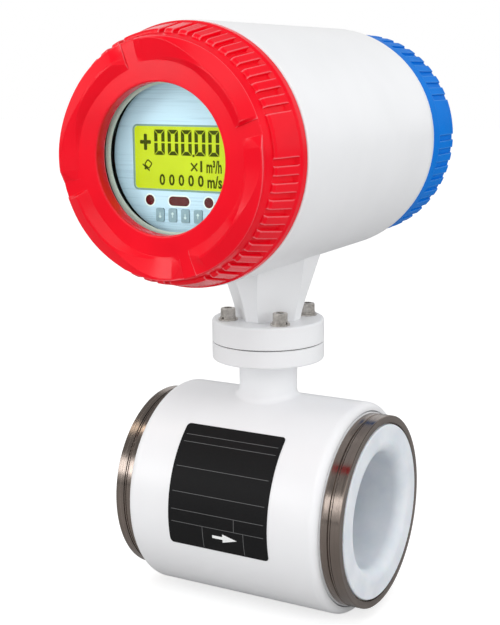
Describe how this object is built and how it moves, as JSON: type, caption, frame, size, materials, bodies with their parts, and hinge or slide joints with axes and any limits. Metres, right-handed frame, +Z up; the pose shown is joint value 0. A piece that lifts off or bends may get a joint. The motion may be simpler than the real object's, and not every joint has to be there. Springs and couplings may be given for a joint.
{
  "type": "electromagnetic flow meter",
  "caption": "Wafer-type flow sensor in a round casing with a lined bore, carrying on a flanged neck a converter head with a ribbed window cover and a ribbed blind cover.",
  "frame": {"origin": "centre of the measuring tube's bore", "axes": "+X is the direction of flow along the bore, the display faces -Y and +Z runs up the neck"},
  "size_m": [0.189, 0.2898, 0.3935],
  "materials": {
    "tube_steel": "drawn stainless tube",
    "ring_steel": "turned stainless steel",
    "liner_white": "smooth moulded fluoroplastic",
    "electrode_steel": "ground stainless steel",
    "zinc_steel": "bright zinc plate",
    "bare_iron": "bare rolled iron",
    "copper_winding": "varnished copper wire",
    "cream_paint": "satin powder coat",
    "plate_black": "gloss black film",
    "black_rubber": "moulded rubber",
    "red_paint": "semi-gloss powder coat",
    "blue_paint": "semi-gloss powder coat",
    "clear_glass": "polished toughened glass",
    "black_anodised": "black anodised",
    "display_blue": "printed film on brushed metal",
    "black_plastic": "moulded",
    "lcd_grey": "polarising film on glass",
    "sensor_red": "dark red tinted window",
    "board_green": "solder mask",
    "key_grey": "moulded silicone",
    "gland_nickel": "nickel plated brass"
  },
  "bodies": {
    "meter": {"measuring_tube": "tube_steel", "inlet_ring": "ring_steel", "outlet_ring": "ring_steel", "liner": "liner_white", "electrode_front": "electrode_steel", "electrode_rear": "electrode_steel", "electrode_bush_front": "liner_white", "electrode_bush_rear": "liner_white", "electrode_nut_front": "zinc_steel", "electrode_nut_rear": "zinc_steel", "pole_piece_upper": "bare_iron", "pole_piece_lower": "bare_iron", "coil_upper": "copper_winding", "coil_lower": "copper_winding", "magnet_yoke": "bare_iron", "sensor_casing": "cream_paint", "inlet_end_plate": "cream_paint", "outlet_end_plate": "cream_paint", "nameplate": "plate_black", "flange_gasket": "black_rubber", "flange_bolts": "zinc_steel", "flange_washers": "zinc_steel", "spring_washers": "zinc_steel", "converter_housing": "cream_paint", "display_plate": "display_blue", "display_tray": "black_plastic", "lcd_module": "lcd_grey", "sensor_windows": "sensor_red", "display_board": "board_green", "key_switches": "black_plastic", "main_board": "board_green", "power_board": "board_green", "board_pillars": "zinc_steel", "terminal_block": "black_plastic", "terminal_screws": "zinc_steel", "ground_screw": "zinc_steel", "gland_body_1": "gland_nickel", "gland_seal_1": "black_rubber", "gland_nut_1": "gland_nickel", "gland_body_2": "gland_nickel", "gland_seal_2": "black_rubber", "gland_nut_2": "gland_nickel"},
    "front_seal": {"front_cover_seal": "black_rubber"},
    "front_cover": {"front_cover": "red_paint", "window_glass": "clear_glass", "window_gasket": "black_rubber", "glass_retainer": "black_anodised"},
    "rear_seal": {"rear_cover_seal": "black_rubber"},
    "rear_cover": {"rear_cover": "blue_paint"},
    "key_back": {"key_back": "key_grey"},
    "key_down": {"key_down": "key_grey"},
    "key_up": {"key_up": "key_grey"},
    "key_enter": {"key_enter": "key_grey"}
  },
  "joints": [
    {"name": "front_travel", "type": "slide", "parent": "meter", "child": "front_seal", "axis": [0, -1, 0], "range_m": [0, 0.014]},
    {"name": "front_turn", "type": "hinge", "parent": "front_seal", "child": "front_cover", "pos_m": [0, 0, 0.2415], "axis": [0, -1, 0], "range_deg": [0, 2520]},
    {"name": "rear_travel", "type": "slide", "parent": "meter", "child": "rear_seal", "axis": [0, 1, 0], "range_m": [0, 0.014]},
    {"name": "rear_turn", "type": "hinge", "parent": "rear_seal", "child": "rear_cover", "pos_m": [0, 0, 0.2415], "axis": [0, 1, 0], "range_deg": [0, 2520]},
    {"name": "key_back_press", "type": "slide", "parent": "meter", "child": "key_back", "axis": [0, 1, 0], "range_m": [0, 0.0004], "stiffness_N_per_m": 1500, "springref_m": -0.0005},
    {"name": "key_down_press", "type": "slide", "parent": "meter", "child": "key_down", "axis": [0, 1, 0], "range_m": [0, 0.0004], "stiffness_N_per_m": 1500, "springref_m": -0.0005},
    {"name": "key_up_press", "type": "slide", "parent": "meter", "child": "key_up", "axis": [0, 1, 0], "range_m": [0, 0.0004], "stiffness_N_per_m": 1500, "springref_m": -0.0005},
    {"name": "key_enter_press", "type": "slide", "parent": "meter", "child": "key_enter", "axis": [0, 1, 0], "range_m": [0, 0.0004], "stiffness_N_per_m": 1500, "springref_m": -0.0005}
  ],
  "couplings": [
    {"joint": "front_travel", "follows": "front_turn", "m_per_rad": 0.00031831},
    {"joint": "rear_travel", "follows": "rear_turn", "m_per_rad": 0.00031831}
  ]
}
